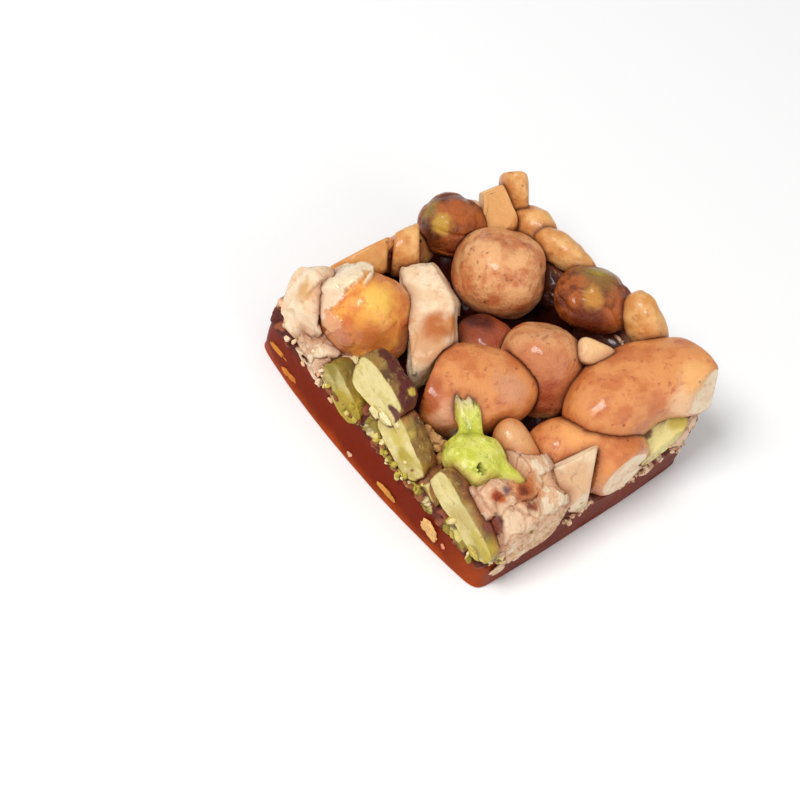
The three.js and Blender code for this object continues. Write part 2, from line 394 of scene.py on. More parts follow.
NUTS = [Nut(*row) for row in (
    ("hazelnut_1", hazelnut, "hazelnut", (-10.5, 10.7, 14.6), (15.2, 14.2, 13.8), (-40, 50, 0)),
    ("cashew_1", cashew, "cashew", (5.3, -9.3, 12.8), (16.4, 15.5, 11), (-123, -7, 162), 116),
    ("hazelnut_2", hazelnut, "hazelnut", (6.6, 4.4, 13.5), (14.6, 12.4, 12), (-41, -50, 0)),
    ("hazelnut_3", hazelnut, "golden", (-14.8, -13.4, 14.8), (15, 14.2, 13.2), (-60, 70, 0)),
    ("pistachio_1", pistachio, "dark", (-22.2, 11.2, 13.6), (11.5, 10.4, 9.8), (60, 0, 0)),
    ("pistachio_2", pistachio, "dark", (2.9, 18.4, 17.4), (13.4, 10.6, 9.4), (31, 0, 0)),
    ("flake_4", block, "shell", (24.6, -4.8, 12.8), (14, 12, 4), (136, 62, 14)),
    ("pistachio_3", pistachio, "green", (25.6, 12.8, 12.8), (11, 6, 6), (97, 26, 51)),
    ("cashew_2", cashew, "cashew", (21.6, 1.2, 11.2), (18.6, 11.4, 12), (54, 0, 0), 40),
    ("cashew_3", cashew, "cashew", (21.6, 13.4, 17), (22.5, 13.2, 12.4), (-106, -14, 180), 130),
    ("pistachio_4", block, "green", (-1.9, -20.9, 17), (10.6, 5.8, 8.6), (0, -8, 0)),
    ("pistachio_5", block, "green", (-8.2, -21.4, 9), (10, 5, 6), (0, -31, 0)),
    ("pistachio_6", block, "green", (5.4, -21.4, 12.2), (10.6, 5.4, 7), (0, -28, 0)),
    ("pistachio_7", block, "green", (19.4, -21.6, 11.6), (15, 4.2, 5.6), (0, -20, 0)),
    ("pistachio_8", torn, "lime", (13.8, -16.1, 14), (10.5, 8.8, 8.4), (0, 0, 0)),
    ("cashew_4", cashew, "cashew", (15.2, -8.9, 14), (9, 6, 6.5), (-5, -23, 21), 30),
    ("flake_1", chip, "shell", (-20.4, -16.9, 12.8), (14, 12, 14), (30, 10, 0), 5),
    ("flake_2", block, "shell", (-9.5, -4.9, 15), (24, 11, 11), (-46, -4, 18)),
    ("flake_3", block, "cream", (21.8, -13.4, 9.4), (15.5, 15, 12.6), (0, -12, 0)),
    ("flake_5", chip, "cream", (-15.4, -19.6, 9.8), (16, 8.4, 8.6), (0, -16, 0), 4),
    ("flake_6", chip, "cream", (24, 18, 10.4), (9.6, 8.6, 12), (0, 0, 0), 3),
    ("peanut_2", pistachio, "peanut", (-18.9, 21.5, 17.2), (14, 6, 7), (21, -66, 26)),
    ("peanut_1", pistachio, "peanut", (-19.5, 17.8, 17), (12, 9, 9), (42, -53, 78)),
    ("peanut_3", pistachio, "peanut", (-13.4, 20.6, 16.4), (9, 6, 7), (5, 0, 21)),
    ("peanut_4", pistachio, "peanut", (-6.2, 20.2, 18), (11.5, 4.6, 5.4), (13, 0, 14)),
    ("peanut_5", pistachio, "peanut", (11.2, 20.8, 19.4), (11.5, 6, 6.6), (-3, -37, 12)),
    ("peanut_6", pistachio, "peanut", (-23.9, -6.7, 15.8), (15, 8, 8), (-109, -25, 0)),
    ("peanut_7", pistachio, "peanut", (-21.7, 0.3, 15.2), (11, 8, 9), (71, 25, 0)),
    ("hazelnut_4", hazelnut, "hazelnut", (-3.1, 2.2, 9.8), (10, 9, 9), (0, 30, 0)),
    ("chip_1", block, "shell", (11.1, 9.8, 19.2), (6, 3.6, 2.6), (34, 0, 27)),
    ("chip_2", chip, "green", (12, -20.4, 9.6), (7.5, 6, 6), (0, -20, 0), 7),
    ("hazelnut_5", hazelnut, "hazelnut", (-22.6, -9, 8.6), (11, 10, 8), (90, 0, 0)),
    ("peanut_8", pistachio, "peanut", (-23.6, 3.4, 9.2), (13, 8, 8), (90, 0, 0)),
    ("cashew_5", cashew, "cashew", (-18, 19, 9.2), (15, 8, 7.6), (8, 0, 0), 60),
    ("pistachio_9", pistachio, "dark", (-5.4, 19.4, 11), (13, 9, 9.5), (0, 0, 0)),
    ("hazelnut_6", hazelnut, "hazelnut", (7.4, 20.2, 10), (13, 9, 10.6), (0, 0, 0)),
    ("cashew_6", cashew, "cashew", (16.6, 20, 8.6), (13, 8, 7.6), (-6, 0, 0), 50),
)]
FINEST = "flake_3"  # made finer than the rest
DEEP = 9.3  # nuts set lower than this hardly show
SLOTS = {"dark": "pistachio_dark", "green": "pistachio_green", "lime": "pistachio_lime", "shell": "cream"}
KNIFE_X = LENGTH / 2 + PROUD
KNIFE_Y = WIDTH / 2 + PROUD
KNIFE = [(X, KNIFE_X), (-X, KNIFE_X), (Y, KNIFE_Y), (-Y, KNIFE_Y)]
# Flat broken places: the way each one faces, and how far from the nut's middle it lies
BREAKS = {
    "cashew_1": [
        ((0.78, -0.61, -0.16), 4.9),
        ((-0.85, -0.5, -0.15), 6.2),
    ],
    "cashew_3": [((0.97, 0.05, 0.24), 4.9)],
    "pistachio_3": [((0.7, -0.3, 0.65), 1)],
    "flake_2": [
        ((0.17, 0.81, 0.56), 5.1),
        ((0.66, 0.7, 0.29), 4.3),
        ((0.98, 0.2, -0.04), 6.6),
        ((-0.55, -0.82, -0.16), 4.4),
        ((-0.73, 0.3, 0.62), 8.4),
    ],
    "flake_4": [
        ((-0.87, 0.01, 0.5), 4.3),
        ((0.78, 0.6, 0.18), 2.7),
        ((0.75, -0.5, -0.44), 3.7),
        ((-0.39, -0.84, -0.37), 2.4),
    ],
    "peanut_1": [
        ((-0.59, -0.8, -0.13), 3.1),
        ((-0.85, 0.06, 0.52), 3.4),
        ((0.27, 0.86, 0.43), 1.9),
        ((0.15, -0.87, 0.48), 2.2),
    ],
    "peanut_2": [
        ((0.66, 0.7, 0.29), 1.7),
        ((-0.74, 0.39, 0.55), 4.3),
        ((-0.06, 0.83, 0.55), 3.6),
    ],
    "peanut_6": [
        ((-0.91, 0.04, 0.41), 0.7),
        ((0.7, 0.7, 0.14), 3.8),
    ],
    "peanut_7": [
        ((-0.69, -0.7, -0.15), 2.1),
        ((-0.91, 0.05, 0.41), 2.9),
        ((0.63, 0.75, 0.21), 2.2),
    ],
}

# Patches of another colour on one nut: middle, radius, screen colour, how far the surface rises there and,
# where it doesn't, how soft the edge is as a share of the radius
Patch = namedtuple("Patch", "at radius color rise soft", defaults=(0, 0.7))
# Dark syrup glaze, also used as painted shade in the seams, low on the nuts and on nuts in the gaps
GLAZE_AND_SHADE = (64, 20, 12)
CREAM = (244, 220, 182)
PINK = (220, 142, 88)
PALE_PINK = (240, 206, 172)
CARAMEL = (172, 86, 36)
MAROON = (96, 34, 24)
CRISP = 0.35  # width of the edge of a patch that rises
# Some patches are painted shade and one is a painted highlight, as marked
PATCHES = {
    "hazelnut_2": [
        ((8.6, 1.4, 18.3), 9, (210, 130, 82)),
        ((11, 0.7, 15.3), 4, (176, 84, 48)),
    ],
    "hazelnut_3": [
        # A painted highlight in the middle, then darker orange at the top and bottom
        ((-12.9, -15.2, 22.3), 3.6, (246, 190, 84)),
        ((-17.5, -9.7, 19.6), 3.4, (206, 114, 50)),
        ((-9.8, -17.5, 17.7), 4, (206, 116, 54)),
        ((-14.5, -19.4, 15), 4.6, PINK),
        ((-15.6, -20, 17.4), 2.2, (226, 158, 106), 0.35),
        ((-12.6, -19.7, 16.2), 1.7, (206, 122, 76), 0.3),
        ((-20.4, -17.4, 18.4), 4.4, PALE_PINK, 0.6),
        ((-19.1, -15.5, 20.4), 3.4, CREAM, 0.9),
    ],
    "hazelnut_4": [
        ((-3, 2, 14), 7, (168, 78, 42)),
        # Painted shade: dark maroon on the top-left, under the neighbouring nuts
        ((-6.4, 2.8, 13), 5, (84, 32, 24)),
    ],
    # Painted shadow: the dark glaze colour over the inner side of this low nut
    "hazelnut_6": [((8, 16, 13), 10, GLAZE_AND_SHADE)],
    "cashew_1": [
        ((6, -15.2, 15.3), 3.4, (226, 164, 124)),
        ((1.6, -15.6, 16.5), 4, (180, 88, 32)),
        ((8.2, -4.7, 18.5), 4, (218, 150, 108)),
    ],
    "cashew_2": [((19.5, -0.3, 17), 5, (246, 172, 102))],
    "cashew_3": [
        ((25.2, 15.6, 20), 4.6, (240, 190, 142)),
        ((24, 18, 23), 3.6, (236, 172, 104)),
    ],
    "cashew_4": [((15, -9.4, 16.6), 4, (224, 166, 110))],
    "pistachio_1": [
        # Painted shade along the lower edge
        ((-22.5, 5.9, 14.6), 3.6, (92, 40, 14)),
        ((-21.4, 10, 18), 3.4, (184, 96, 38)),
        ((-24.6, 8.2, 16), 2.4, (160, 130, 44)),
        ((-21.7, 6.9, 16.9), 2.4, (206, 160, 62)),
    ],
    "pistachio_2": [
        # Painted shade at the bottom
        ((5, 14.6, 18), 4.6, (112, 44, 18)),
        ((1.6, 18.8, 21.6), 4.6, (150, 108, 46)),
        ((0.6, 19.6, 21.6), 2.2, (164, 136, 50)),
        ((3.6, 15.6, 21), 2.4, (206, 142, 60)),
    ],
    "pistachio_3": [
        ((26.2, 12.4, 13.5), 5, (238, 220, 146)),
        ((25.6, 16, 16), 3.4, (206, 180, 78)),
        # Dark brown marks along the top and bottom edges: syrup and painted shade, as in the seams
        ((24.2, 9.8, 14.6), 1.8, (104, 66, 30)),
        ((26.6, 9.8, 10.4), 1.6, (120, 82, 36)),
        ((24, 12.6, 16.6), 1.6, (112, 74, 32)),
    ],
    "pistachio_4": [
        ((-4.6, -18.2, 21.6), 3, MAROON, 0, 0.2),
        ((-1.3, -18.6, 21.2), 3.2, MAROON, 0, 0.2),
        ((2.4, -19, 20), 3.4, MAROON, 0, 0.2),
        ((4, -19.6, 17), 3.8, MAROON, 0, 0.2),
        ((2, -19.8, 20.4), 0.8, (206, 176, 70), 0, 0.3),
    ],
    "pistachio_5": [
        ((-6.4, -22.5, 7.6), 5.8, (190, 162, 46), 0, 0.6),
        ((-10.6, -22.5, 11), 4.8, (152, 134, 42), 0, 0.8),
    ],
    "pistachio_6": [
        ((3.2, -22.5, 13.8), 4, (222, 198, 92)),
        ((7.6, -22.5, 10.4), 4.2, (192, 168, 48)),
    ],
    "pistachio_7": [
        ((20.6, -26, 11.4), 6.6, (212, 188, 114)),
        ((25.2, -22.3, 10.4), 2.8, (200, 178, 58)),
        ((23.2, -20.4, 13), 1.8, (110, 58, 54)),
    ],
    "pistachio_8": [
        ((16.5, -17.4, 17.2), 0.9, (96, 104, 30), -1.6),
        # Painted shadow: darker green at the base of the flap
        ((10, -14.8, 17.6), 2, (140, 152, 40)),
        ((6.2, -11.8, 18.6), 2.6, (244, 236, 178)),
    ],
    # Painted shadow: the dark glaze colour over the inner side of this low nut
    "pistachio_9": [((-3, 15.5, 13), 12, GLAZE_AND_SHADE)],
    "flake_1": [((-22.1, -20.3, 17.7), 2.6, (218, 164, 102))],
    "flake_2": [
        ((-3.5, -12.2, 18.8), 5, (216, 162, 114)),
        ((-5.5, -8.5, 20.1), 3.4, (190, 108, 50)),
        ((-4.4, -5.6, 19.6), 3, (206, 130, 70)),
    ],
    "flake_3": [
        ((21.9, -13.4, 15.9), 3.4, (210, 130, 68)),
        ((22.3, -14, 15.8), 2.2, (172, 82, 34)),
        ((22.3, -14, 15.8), 1.1, (112, 40, 14)),
        ((20.9, -17.9, 15.8), 2, (196, 98, 42)),
        ((20.9, -17.9, 15.8), 1.1, (142, 46, 10)),
        ((24.5, -14, 15.1), 1.6, (150, 76, 46)),
        ((24.5, -14, 15.1), 0.8, (100, 42, 26)),
        ((20.9, -16.2, 16.2), 1, (132, 90, 94)),
        ((23.6, -19.8, 13.2), 1.9, (108, 54, 48), 0, 0.5),
    ],
    "flake_4": [((25.2, -5.4, 15.5), 7, (228, 182, 138))],
    "peanut_2": [((-20.8, 20.4, 21.4), 2, (120, 66, 34))],
    "peanut_6": [
        ((-21.9, -8.8, 18.4), 4, (216, 152, 80)),
        ((-26, -3, 19), 2.6, (176, 106, 58)),
    ],
    "chip_1": [((11.1, 9.8, 20.6), 5, (236, 188, 134))],
}


# The jelly

def bed_profile(reach):
    """Height of the jelly's top by the share of the way from its middle to its edge."""
    return np.interp(reach, (0, 0.7, 0.98), (JELLY_MIDDLE, JELLY_MIDDLE - 1.2, JELLY_EDGE))


def uneven(x, y):
    return WAVE * np.sin(x * WAVE_TURNS[0]) * np.cos(y * WAVE_TURNS[1]) - SLOPE * x


def bed(x, y):
    """Height of the jelly's top."""
    reach = np.maximum(np.abs(x) / (LENGTH / 2), np.abs(y) / (WIDTH / 2))
    return bed_profile(reach) + uneven(x, y)


def jelly_profile():
    """Reach, height and share of the foot's bow, from the underside's middle to the top's middle."""
    foot = [(0, 0, 0), (0.5, 0, 0), (0.9, 0, 0.6), (0.965, 0, 0.75), (0.98, 0.02, 0.82), (0.99, 0.1, 0.9)]
    heights = np.linspace(0.3, JELLY_EDGE - 0.6, 22)
    bows = np.interp(heights, (0.3, 0.7, 4.6, JELLY_EDGE - 0.6), (0.97, 1, 0.3, 0.05))
    side = [(1, z, bow) for z, bow in zip(heights, bows)]
    brim = [(0.998, JELLY_EDGE - 0.4, 0.03), (0.994, JELLY_EDGE - 0.2, 0.01), (0.988, JELLY_EDGE - 0.07, 0)]
    top = [(r, bed_profile(r), 0) for r in np.linspace(0.98, 0, JELLY_TOP_RINGS)]
    return np.array(foot + side + brim + top, dtype=float)


def jelly_shape(nuts_tree):
    """Points and faces of the jelly, with its top drawn up where it meets a nut."""
    rows = jelly_profile()
    angle = np.linspace(0, 2 * math.pi, JELLY_STEPS, endpoint=False)
    sides = np.abs(np.cos(angle)) ** CORNER_POWER + np.abs(np.sin(angle)) ** CORNER_POWER
    square = sides ** (-1 / CORNER_POWER)
    reach, height, bow = (rows[1:-1, k][:, None] for k in range(3))
    u = reach * square * np.cos(angle)
    v = reach * square * np.sin(angle)
    x = u * LENGTH / 2 + bow * FOOT_SHORT * u**FOOT_POWER * (1 - v * v)
    y = v * WIDTH / 2 + bow * FOOT_LONG * v**FOOT_POWER * (1 - u * u)
    z = height + smooth(JELLY_EDGE - 2, JELLY_EDGE - 0.4, height) * uneven(x, y)
    ring = np.stack([x, y, z], axis=2).reshape(-1, 3)
    points = np.vstack([ring, [[0, 0, 0], [0, 0, JELLY_MIDDLE]]])
    faces = []
    first = np.arange(JELLY_STEPS)
    after = (first + 1) % JELLY_STEPS
    last = (len(rows) - 3) * JELLY_STEPS
    for low in range(0, last, JELLY_STEPS):
        high = low + JELLY_STEPS
        faces.append(triangles(low + first, low + after, high + after))
        faces.append(triangles(low + first, high + after, high + first))
    faces.append(triangles(len(ring), after, first))
    faces.append(triangles(len(ring) + 1, last + first, last + after))
    top = smooth(JELLY_EDGE - 1.5, JELLY_EDGE - 0.2, points[:, 2])
    for i in np.nonzero(top > 0.3)[0]:
        near = nuts_tree.find_nearest(points[i].tolist())[3]
        points[i, 2] += 1.5 * top[i] * math.exp(-near / 0.9)
    wall = smooth(0.05, 0.6, points[:, 2]) * (1 - top)
    out = points * (1, 1, 0)
    out /= np.maximum(norm(out, axis=1, keepdims=True), 1e-6)
    waviness = 0.22 * layered(points * (1, 1, 2), 9, 3) + 0.05 * layered(points, 2, 5) - 0.2
    return points + out * (wall * waviness)[:, None], np.vstack(faces)


# Nuts

def trim(points, anchor, normal, offset, rim):
    """Points pulled towards the anchor until they are within the plane, and how far each one came."""
    reach = (points - anchor) @ normal
    room = offset - anchor @ normal
    ratio = room / np.maximum(reach, 1e-6)
    blend = np.clip(0.5 + 0.5 * (ratio - 1) / rim, 0, 1)
    keep = ratio * (1 - blend) + blend - rim * blend * (1 - blend)
    came = np.maximum(0, 1 - ratio) * norm(points - anchor, axis=1)
    return anchor + (points - anchor) * np.minimum(keep, 1)[:, None], came


def blended(colors, share, color):
    """The colours with another one laid over them by that share."""
    return colors * (1 - share)[:, None] + np.outer(share, rgb(*color)[:3])


def shades(kind, number):
    """A crumb colour of that kind for each number from 0 to 1."""
    colors = np.array([rgb(*color)[:3] for color in CRUMB_COLORS[kind]])
    return colors[(number * 0.999 * len(colors)).astype(int)]


def crumb_tint(local, seed):
    """Colours of the lumps of a crumbled piece, brown in the cracks, and how much of them shows."""
    (large, crack), (small, _) = lumps(local, seed)
    deep = 0.45 * (1 - smooth(0, 0.5, crack))
    return blended(shades("pale", 0.6 * large + 0.4 * small), deep, CARAMEL), np.full(len(local), 0.75)


def paint(points, tint, share, patches, seed):
    """Colours at each point with the patches laid on, how much of them shows, and how far they rise."""
    tint = tint * share[:, None]
    rise = np.zeros(len(points))
    for number, row in enumerate(patches):
        patch = Patch(*row)
        own = seed + number
        ragged = 0.35 * layered(points, patch.radius * 0.5, own)
        if patch.rise:
            plate = chunks(points, 0.9 * patch.radius, own)[0]
            ragged = 0.1 * noise(points, patch.radius, own) + 0.7 * (plate - 0.5)
        edge = patch.radius * (1 + ragged) - norm(points - patch.at, axis=1)
        covered = smooth(0, CRISP if patch.rise else patch.soft * patch.radius, edge)
        tint = blended(tint, covered, patch.color)
        share = share * (1 - covered) + covered
        flaky = 0.6 + 0.8 * chunks(warped(points, 1, seed), 2.6, own)[0]
        rise = rise * (1 - covered) + patch.rise * flaky * covered
    return tint / np.maximum(share, 1e-6)[:, None], share, rise


def turn_of(nut):
    yaw, pitch, roll = np.radians(nut.turn)
    return np.array(Euler((roll, -pitch, yaw), "XYZ").to_matrix())


def planes_of(nut):
    """Knife cuts and breaks of a nut: the way each one faces, and its distance from the origin."""
    planes = list(KNIFE)
    for normal, away in BREAKS.get(nut.name, []):
        normal = np.array(Vector(normal).normalized())
        planes.append((normal, away + normal @ nut.at))
    return planes


def inside(spot, solid_tree):
    """Whether a place is within a closed surface, by how often a line from it crosses that."""
    up = Vector((0.13, 0.21, 0.97))
    start = Vector(spot)
    crossed = 0
    while (place := solid_tree.ray_cast(start, up)[0]) is not None:
        crossed += 1
        start = place + 0.001 * up
    return crossed % 2 == 1


def clearance(spot, planes, earlier):
    """How far a place lies within the planes and outside the earlier nuts."""
    rooms = [offset - spot @ normal for normal, offset in planes]
    for other_tree, _, _ in earlier:
        away = other_tree.find_nearest(spot.tolist())[3]
        rooms.append(-away if inside(spot, other_tree) else away)
    return min(rooms)


def anchor_of(nut, points, planes, earlier):
    """The nut's middle or, where that has too little room, the clearest place half way out from it."""
    middle = np.array(nut.at, dtype=float)
    if clearance(middle, planes, earlier) > ROOM:
        return middle
    halfway = (points[::len(points) // 80] + middle) / 2
    return max(halfway, key=lambda spot: clearance(spot, planes, earlier))


def knifed(points, anchor, planes, surface, seed):
    """Points cut back to the planes, with rough faces, and how far each one came."""
    cut = np.zeros(len(points))
    for normal, offset in planes:
        if anchor @ normal > offset - LEAST_ROOM:
            continue
        points, came = trim(points, anchor, normal, offset, surface.rim)
        rough = 0.5 + 0.6 * layered(points, surface.size, seed + 31)
        if surface.cracked:
            lump, crack = chunks(warped(points, 1, seed), surface.size, seed + 29)
            rough = 0.6 * lump + 0.4 * (1 - smooth(0, 0.4, crack)) + 0.3 * layered(points, 1, seed + 31)
        deep = surface.depth * smooth(0, 0.8, came) * np.maximum(rough, 0)
        points = points - np.outer(deep, normal)
        cut = np.maximum(cut, came)
    return points, cut


def make_way(points, anchor, earlier):
    """Pull the points back towards the anchor where they would touch an earlier nut."""
    reach = norm(points - anchor, axis=1)
    for other_tree, other_at, other_reach in earlier:
        if norm(other_at - anchor) > other_reach + reach.max():
            continue
        for i in range(len(points)):
            ray = points[i] - anchor
            away = other_tree.ray_cast(anchor.tolist(), ray.tolist(), reach[i] + GAP)[3]
            if away is not None:
                away = max(away - GAP, LEAST_REACH)
                points[i] = anchor + ray * (away / reach[i])
                reach[i] = away


def fineness(nut):
    """Icosphere subdivisions of a nut."""
    if nut.name == FINEST:
        return FINE + 1
    shows = max(nut.size) > LARGE and nut.at[2] > DEEP
    return FINE if shows or nut.skin == "green" else COARSE


def nut_shape(nut, seed, earlier):
    """Points, triangles and the values at the points of one nut, clear of the earlier ones."""
    surface = SURFACES[nut.skin]
    d, faces = ball(fineness(nut))
    local = nut.kind(d, np.array(nut.size) / 2, nut.form)
    shape = local + vertex_normals(local, faces) * surface.relief(local, seed)[:, None]
    points = shape @ turn_of(nut).T + nut.at
    planes = planes_of(nut)
    anchor = anchor_of(nut, points, planes, earlier)
    tint, share = np.zeros_like(points), np.zeros(len(points))
    if nut.skin == "cream":
        tint, share = crumb_tint(local, seed)
    tint, share, rise = paint(points, tint, share, PATCHES.get(nut.name, []), seed)
    points += vertex_normals(points, faces) * rise[:, None]
    points, cut = knifed(points, anchor, planes, surface, seed)
    make_way(points, anchor, earlier)
    above = points[:, 2] - bed(points[:, 0], points[:, 1])
    # Syrup glaze low on the nut near the jelly, darkened to stand for painted shade, and wiped off near the
    # cut sides
    low_glaze_and_shade = 1 - smooth(*GLAZE_AND_SHADE_HEIGHTS, above + layered(points, 3, seed + 5))
    low_glaze_and_shade *= smooth(*WIPED, np.min([offset - points @ normal for normal, offset in KNIFE], axis=0))
    own = (points - nut.at) @ turn_of(nut)
    return points, faces, dict(local=own, cut=cut, low_glaze_and_shade=low_glaze_and_shade, tint=tint, share=share)


# Closeness to other nuts, where syrup and painted shade darken a skin
def seam(points, others):
    """1 where the points touch another nut, down to 0 at the seam's width from it."""
    close = np.zeros(len(points))
    for other_tree, other_at, other_reach in others:
        near = norm(points - other_at, axis=1) < other_reach + SEAM
        for i in np.nonzero(near)[0]:
            away = other_tree.find_nearest(points[i].tolist(), SEAM)[3]
            if away is not None:
                close[i] = max(close[i], 1 - away / SEAM)
    return close


# Crumbs

CRUMB_COLORS = {
    "pale": [(244, 212, 178), (240, 200, 164), (234, 186, 148), (248, 226, 194)],
    "green": [(222, 206, 122), (196, 176, 70), (238, 218, 158), (150, 132, 52), (150, 90, 52)],
    "glazed": [(96, 36, 26), (122, 54, 36), (84, 30, 20), (148, 78, 52)],
}
GLAZED = 0.05  # noise above which the crust is soaked with glaze
# Bits in the jelly's sides and between the nuts: middle, size along X, Y and Z, and colour
BITS = [
    ((-21.6, -22.1, 3.2), (6, 1, 1.4), (214, 136, 46)),
    ((-18.6, -22.7, 1.7), (4, 1, 1.4), (208, 124, 40)),
    ((15.4, -22.8, 3.2), (4.4, 1.1, 2.8), (230, 180, 112)),
    ((6.2, -23.4, 2.1), (4.2, 0.8, 1.6), (204, 140, 58)),
    ((18.6, -22.6, 2.7), (1, 0.6, 0.9), (232, 150, 120)),
    ((-16.9, -22, 6.2), (1.2, 0.8, 1), (238, 196, 150)),
    ((-9.7, -22.2, 5.6), (1.2, 0.8, 0.9), (238, 196, 150)),
    ((-2.2, -23.6, 1.5), (1.1, 0.7, 1), (240, 190, 160)),
    ((26.7, -19, 4.6), (0.8, 5, 2.2), (238, 204, 168)),
    ((-1.2, -22.6, 13.4), (2.8, 1, 2), (236, 220, 160)),
    ((0.9, -22.6, 14.4), (2.8, 1, 1.8), (240, 226, 176)),
    ((2.9, -22.2, 15.4), (2.4, 1.2, 1.8), (232, 212, 150)),
    ((23.8, -22.8, 8.4), (2.6, 1, 1.8), (202, 182, 84)),
    ((8.2, -17.6, 13), (3.8, 3.2, 3.8), (204, 154, 96)),
    ((5.8, -17.4, 12.2), (3.4, 3, 3.4), (184, 132, 78)),
    ((10.2, -18.6, 12.4), (2.6, 2.4, 2.8), (168, 122, 60)),
]


def crumb(at, size, color, seed, turned=True):
    """A broken crumb: its points, triangles and colour."""
    d, faces = ball(CRUMB)
    points = chip(d, np.array(size) / 2, seed)
    points *= 1 + 0.45 * layered(d, 0.6, seed)[:, None]
    if turned:
        spin = Euler([2 * math.pi * draw(seed + k) for k in (0.1, 0.2, 0.3)])
        points = points @ np.array(spin.to_matrix()).T
    return points + at, faces, np.tile(color[:3], (len(points), 1))


def broken_bit(at, size, color, seed):
    """A bit of nut as a cluster of crumbs of nearly one colour."""
    rng = np.random.default_rng(seed)
    crumbs = []
    for number in range(BIT_CRUMBS):
        spot = at + rng.uniform(-0.28, 0.28, 3) * size * (1, 0.3, 1)
        shade = np.array(rgb(*color)) * rng.uniform(0.8, 1.15)
        lump = np.array(size) * rng.uniform(0.35, 0.65)
        crumbs.append(crumb(spot, lump, shade, 20 * seed + number, turned=False))
    return crumbs


def crust_heights(nuts_tree, outward, across, along, width):
    """Height of the jelly's edge along one cut side, and of the hollow over it, evened out."""
    edge = bed(*(outward[:, None] * width + np.outer(across, along))[:2])
    roof = []
    for t, z in zip(along, edge):
        start = outward * (width - 2) + across * t + Z * (z + 0.2)
        room = nuts_tree.ray_cast(start.tolist(), Z.tolist(), CRUST_REACH)[3]
        roof.append(CRUST_BARE if room is None else room + 0.6)
    span = 2 * CRUST_EVEN + 1
    return edge, np.convolve(np.pad(roof, CRUST_EVEN, "edge"), np.ones(span) / span, "valid")


def crust_colors(flat, lump, crack, pick, seed):
    """Colours of pale, green and glazed lumps, dark in the cracks."""
    green = pick(flat[:, 0] + 4 * noise(flat, 4, seed + 4))
    glazed = noise(flat, 5, seed + 5) > GLAZED
    colors = np.where(green[:, None], shades("green", lump), shades("pale", lump))
    colors = np.where(glazed[:, None], shades("glazed", lump), colors)
    return blended(colors, 0.6 * (1 - smooth(0, 0.3, crack)), GLAZE_AND_SHADE)


def crust(nuts_tree, outward, across, half, width, pick, lean, seed):
    """Crumbled nut on one cut side, from the jelly's edge up, leaning out along that edge."""
    along = np.arange(-half + 0.4, half - 0.4, CRUST_STEP)
    edge, roof = crust_heights(nuts_tree, outward, across, along, width)
    share = np.linspace(0, 1, CRUST_ROWS)[:, None]
    z = edge - CRUST_FOOT + share * (roof + CRUST_FOOT)
    flat = np.stack([np.broadcast_to(along, z.shape), z, np.zeros_like(z)], axis=2).reshape(-1, 3)
    lump, crack = chunks(warped(flat, 1, seed), 1.7, seed)
    small, _ = chunks(warped(flat, 0.5, seed), 0.7, seed + 9)
    height = 0.6 * (lump - 0.5) + 0.2 * (small - 0.5) - 0.2 * (1 - smooth(0, 0.25, crack))
    risen = (z - edge).ravel() - 1.6 * layered(flat, 3, seed + 3)
    banked = lean * (1 - smooth(0.2, 1.4, risen))
    depth = 0.7 - height - banked + 1.5 * (1 - smooth(-0.9, -0.4, risen))
    share = np.broadcast_to(share, z.shape).ravel()
    depth += 3 * smooth(0.8, 1, share) + 2 * (1 - smooth(0, 0.08, share))
    depth += 2 * smooth(half - 1.6, half, np.abs(flat[:, 0]))
    depth = np.maximum(depth, 0.1 - lean)
    points = np.outer(flat[:, 0], across) + np.outer(width - depth, outward) + np.outer(flat[:, 1], Z)
    for i in range(len(points)):
        if nuts_tree.find_nearest(points[i].tolist(), CRUST_GAP)[3] is not None:
            points[i] -= outward * 2 * CRUST_GAP
    columns = len(along)
    corner = (np.arange(CRUST_ROWS - 1)[:, None] * columns + np.arange(columns - 1)).ravel()
    far = corner + columns + 1
    one, other = (1, columns) if np.cross(across, Z) @ outward > 0 else (columns, 1)
    faces = np.vstack([triangles(corner, corner + one, far), triangles(corner, far, corner + other)])
    return points, faces, crust_colors(flat, lump, crack, pick, seed)


def chance_crumb(rng, spot, green, size, stretch, seed):
    """A crumb of a size and stretch within those ranges, in a colour of its kind."""
    colors = CRUMB_COLORS["green" if green else "pale"]
    color = rgb(*colors[rng.integers(len(colors))])
    return crumb(spot, rng.uniform(*size) * rng.uniform(*stretch, 3), color, seed)


def loose_crumbs(solid_tree, seed):
    """Single crumbs that cling to the nuts and the jelly."""
    rng = np.random.default_rng(seed)
    low, high = LOOSE_HEIGHTS
    crumbs = []
    for number in range(LOOSE_CRUMBS):
        way = Vector((rng.normal(), rng.normal(), rng.uniform(0, 0.5))).normalized()
        start = Vector((rng.uniform(-26, 26), rng.uniform(-21, 21), rng.uniform(5, 16))) + way * 80
        spot = solid_tree.ray_cast(start, -way)[0]
        if spot is None or not low < spot.z < high:
            continue
        green = rng.random() < 0.4
        crumbs.append(chance_crumb(rng, np.array(spot), green, (0.25, 0.8), (0.6, 1.6), seed * 1000 + number))
    return crumbs


def edge_crumbs(outward, across, half, width, pick, lean, seed):
    """Small heaps of crumbs along the jelly's edge on one cut side."""
    rng = np.random.default_rng(seed)
    crumbs = []
    for heap in range(EDGE_HEAPS):
        middle = rng.uniform(-half + 2, half - 2)
        rise = abs(rng.normal(0, 1.2))
        for number in range(rng.integers(3, 8)):
            t = np.clip(middle + rng.normal(0, 0.8), -half + 1, half - 1)
            spot = outward * (width + lean - rng.uniform(0.2, 0.8)) + across * t
            spot[2] = bed(spot[0], spot[1]) + rise + rng.normal(0, 0.5) - 0.3
            own_seed = seed * 1000 + 10 * heap + number
            crumbs.append(chance_crumb(rng, spot, pick(t), (0.4, 1.1), (0.5, 1.6), own_seed))
    return crumbs


# Materials

